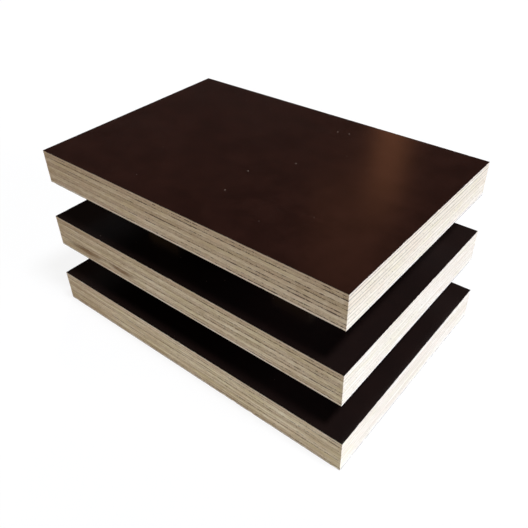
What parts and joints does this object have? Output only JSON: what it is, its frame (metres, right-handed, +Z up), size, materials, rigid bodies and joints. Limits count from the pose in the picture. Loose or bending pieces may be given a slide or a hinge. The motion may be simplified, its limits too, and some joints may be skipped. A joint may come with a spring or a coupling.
{
  "type": "stack of film-faced plywood sheets",
  "caption": "Flat stack of small dark film-faced plywood sheets with raw sawn edges that show crossed plies, held apart on hidden spacer blocks and each slid a little past the one above.",
  "frame": {"origin": "on the floor, at the middle of the stack's box", "axes": "+X along the sheets' length and the grain of their faces, +Y across the sheets away from the front, +Z up through the stack"},
  "size_m": [0.1882, 0.13, 0.085],
  "materials": {
    "film": "satin",
    "face_veneer": "matte",
    "cross_veneer": "matte",
    "long_veneer": "matte",
    "spacer": "matte"
  },
  "bodies": {
    "root": {"top_sheet_upper_film": "film", "top_sheet_ply_1_face": "face_veneer", "top_sheet_ply_2_cross": "cross_veneer", "top_sheet_ply_3_long": "long_veneer", "top_sheet_ply_4_cross": "cross_veneer", "top_sheet_ply_5_long": "long_veneer", "top_sheet_ply_6_cross": "cross_veneer", "top_sheet_ply_7_long": "long_veneer", "top_sheet_ply_8_cross": "cross_veneer", "top_sheet_ply_9_face": "face_veneer", "top_sheet_lower_film": "film", "middle_sheet_upper_film": "film", "middle_sheet_ply_1_face": "face_veneer", "middle_sheet_ply_2_cross": "cross_veneer", "middle_sheet_ply_3_long": "long_veneer", "middle_sheet_ply_4_cross": "cross_veneer", "middle_sheet_ply_5_long": "long_veneer", "middle_sheet_ply_6_cross": "cross_veneer", "middle_sheet_ply_7_long": "long_veneer", "middle_sheet_ply_8_cross": "cross_veneer", "middle_sheet_ply_9_face": "face_veneer", "middle_sheet_lower_film": "film", "bottom_sheet_upper_film": "film", "bottom_sheet_ply_1_face": "face_veneer", "bottom_sheet_ply_2_cross": "cross_veneer", "bottom_sheet_ply_3_long": "long_veneer", "bottom_sheet_ply_4_cross": "cross_veneer", "bottom_sheet_ply_5_long": "long_veneer", "bottom_sheet_ply_6_cross": "cross_veneer", "bottom_sheet_ply_7_long": "long_veneer", "bottom_sheet_ply_8_cross": "cross_veneer", "bottom_sheet_ply_9_face": "face_veneer", "bottom_sheet_lower_film": "film", "upper_spacer_left": "spacer", "upper_spacer_right": "spacer", "lower_spacer_left": "spacer", "lower_spacer_right": "spacer"}
  },
  "joints": []
}
